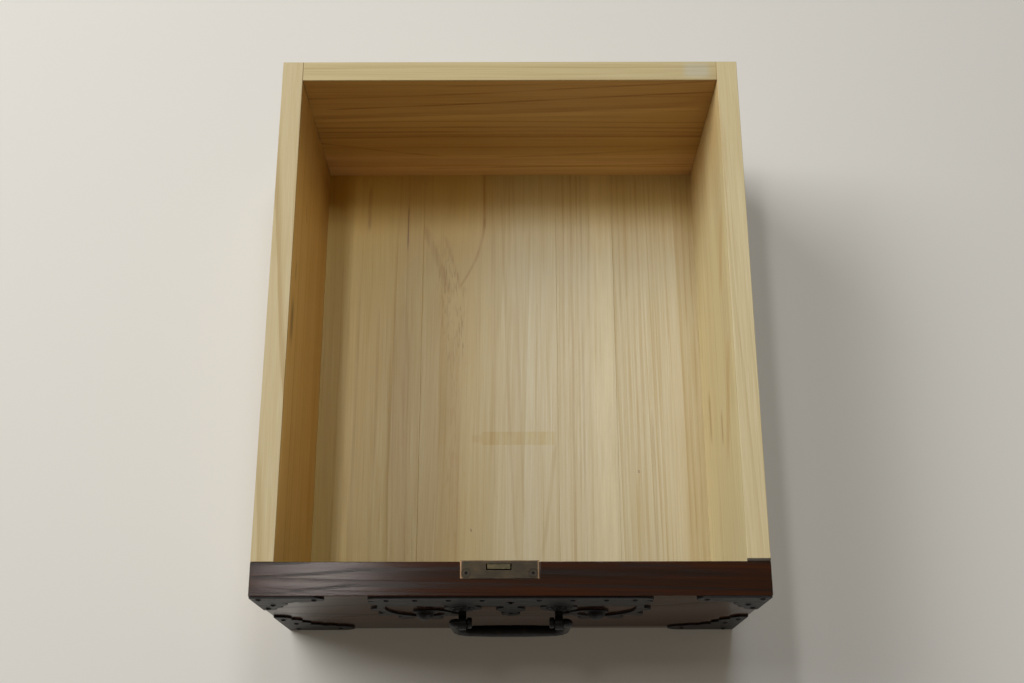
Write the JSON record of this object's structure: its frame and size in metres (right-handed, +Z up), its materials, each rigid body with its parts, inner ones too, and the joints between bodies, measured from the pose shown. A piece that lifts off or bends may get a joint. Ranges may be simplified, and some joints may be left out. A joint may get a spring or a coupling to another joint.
{
  "type": "tansu drawer",
  "caption": "Wooden drawer of a small tansu chest, with a hinged bail handle, nailed sheet-iron corner and centre plates, and a lock let into its top edge.",
  "frame": {"origin": "middle of the drawer's underside, half way between its front and rear faces", "axes": "+X to the right seen from the front, +Y from the front towards the back, +Z up"},
  "size_m": [0.4, 0.4867, 0.1927],
  "materials": {
    "keyaki_lacquered": "dark red-brown lacquer over open-grained wood, worn matt at the edges",
    "kiri_sides": "bare planed paulownia, aged brown",
    "kiri_floor": "bare planed paulownia with cathedral grain",
    "deutzia_pegs": "whittled pegs, cut off flush",
    "black_iron": "hammered sheet and rod blackened with lacquer, rubbed brown at high places",
    "aged_brass": "dull old brass with fine scratches",
    "lock_steel": "oiled steel, slightly rusty"
  },
  "bodies": {
    "drawer_box": {"front_board": "keyaki_lacquered", "left_side": "kiri_sides", "right_side": "kiri_sides", "back_board": "kiri_sides", "floor_board_left": "kiri_floor", "floor_board_middle": "kiri_floor", "floor_board_narrow": "kiri_floor", "floor_board_right": "kiri_floor", "floor_pegs": "deutzia_pegs", "rear_joint_pegs": "deutzia_pegs", "centre_plate": "black_iron", "corner_iron_top_left": "black_iron", "corner_iron_top_right": "black_iron", "corner_iron_bottom_left": "black_iron", "corner_iron_bottom_right": "black_iron", "iron_nails": "black_iron", "domed_studs": "black_iron", "handle_rosette_left": "black_iron", "handle_rosette_right": "black_iron", "handle_post_left": "black_iron", "handle_post_right": "black_iron", "post_washer_left": "black_iron", "post_washer_right": "black_iron", "lock_plate": "aged_brass", "lock_rivets": "aged_brass", "lock_case": "lock_steel", "key_pin": "lock_steel", "guide_pin": "lock_steel", "lock_screws": "lock_steel"},
    "handle": {"bail_handle": "black_iron"},
    "bolt": {"lock_bolt": "aged_brass", "bolt_spring": "lock_steel"}
  },
  "joints": [
    {"name": "handle_hinge", "type": "hinge", "parent": "drawer_box", "child": "handle", "pos_m": [0, -0.247, 0.1365], "axis": [-1, 0, 0], "range_deg": [-6, 186]},
    {"name": "bolt_slide", "type": "slide", "parent": "drawer_box", "child": "bolt", "axis": [0, 0, 1], "range_m": [0, 0.0065]}
  ]
}
